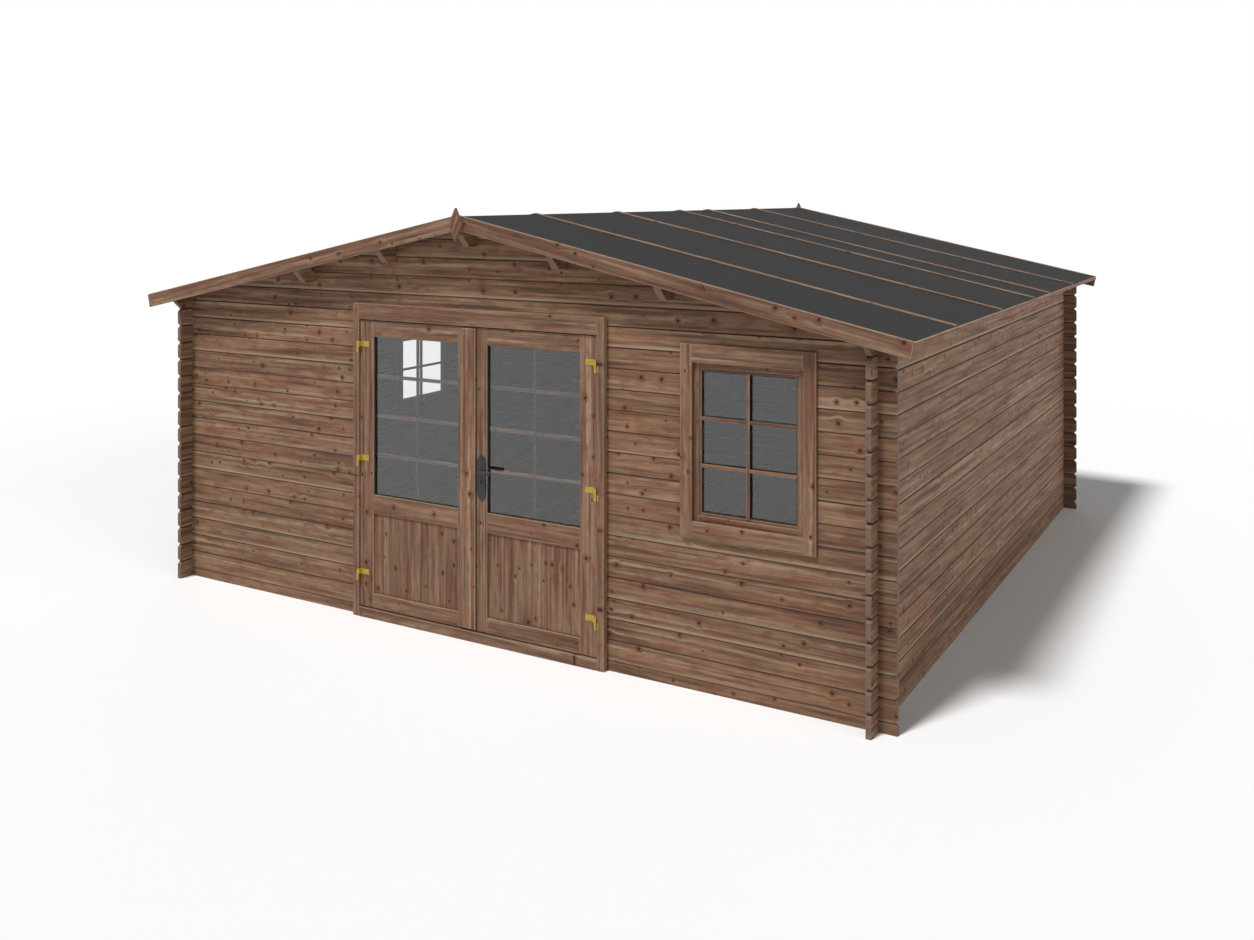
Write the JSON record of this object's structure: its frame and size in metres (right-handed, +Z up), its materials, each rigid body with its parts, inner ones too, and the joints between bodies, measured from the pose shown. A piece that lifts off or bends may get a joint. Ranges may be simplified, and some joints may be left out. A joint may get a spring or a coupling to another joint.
{
  "type": "log garden shed",
  "caption": "Square log-walled garden shed with a low felted gable roof, glazed double doors that swing outwards and framed windows, hollow inside with a board floor.",
  "frame": {"origin": "on the ground at the middle of the plan", "axes": "+X along the front to the right, +Y from the front to the back, +Z up"},
  "size_m": [5.314, 5.232, 2.536],
  "materials": {
    "stained_logs": "brown stained spruce, satin",
    "stained_trim": "brown stained planed spruce, satin",
    "floor_wood": "plain sawn spruce",
    "roof_felt": "mineral roofing felt, matt",
    "hinge_brass": "yellow passivated",
    "handle_metal": "dark grey satin",
    "window_glass": "clear float glass"
  },
  "bodies": {
    "building": {"front_wall_left": "stained_logs", "front_wall_under_window": "stained_logs", "front_wall_middle": "stained_logs", "front_wall_corner": "stained_logs", "front_wall_over_window": "stained_logs", "front_gable": "stained_logs", "left_wall_lower": "stained_logs", "left_wall_front": "stained_logs", "left_wall_back": "stained_logs", "left_wall_upper": "stained_logs", "right_wall": "stained_logs", "back_wall": "stained_logs", "ridge_purlin": "stained_logs", "left_purlins": "stained_logs", "right_purlins": "stained_logs", "roof_boards_left": "stained_logs", "roof_boards_right": "stained_logs", "floor_joists": "floor_wood", "floor_boards": "floor_wood", "felt_battens": "stained_trim", "eaves_strips": "stained_trim", "front_bargeboards": "stained_trim", "back_bargeboards": "stained_trim", "finials": "stained_trim", "door_post_left": "stained_trim", "door_post_right": "stained_trim", "door_head": "stained_trim", "door_threshold": "stained_trim", "front_window_trim": "stained_trim", "front_window_sash": "stained_trim", "left_window_trim": "stained_trim", "left_window_sash": "stained_trim", "roof_felt_left": "roof_felt", "roof_felt_right": "roof_felt", "frame_hinges": "hinge_brass", "front_window_glass": "window_glass", "left_window_glass": "window_glass"},
    "left_door": {"left_leaf_frame": "stained_trim", "left_leaf_panel": "stained_trim", "left_leaf_glass": "window_glass", "left_leaf_hinges": "hinge_brass", "cover_strip": "stained_trim"},
    "right_door": {"right_leaf_frame": "stained_trim", "right_leaf_panel": "stained_trim", "right_leaf_glass": "window_glass", "right_leaf_hinges": "hinge_brass", "handle_plates": "handle_metal"},
    "handle": {"handle_lever": "handle_metal"}
  },
  "joints": [
    {"name": "left_door_swing", "type": "hinge", "parent": "building", "child": "left_door", "pos_m": [-0.858, -2.4785, 0.958], "axis": [0, 0, -1], "range_deg": [0, 110]},
    {"name": "right_door_swing", "type": "hinge", "parent": "building", "child": "right_door", "pos_m": [0.858, -2.4785, 0.958], "axis": [0, 0, 1], "range_deg": [0, 110]},
    {"name": "lever_turn", "type": "hinge", "parent": "right_door", "child": "handle", "pos_m": [0.077, -2.438, 1.001], "axis": [0, 1, 0], "range_deg": [0, 40], "stiffness_Nm_per_rad": 1, "springref_deg": -20.05}
  ]
}
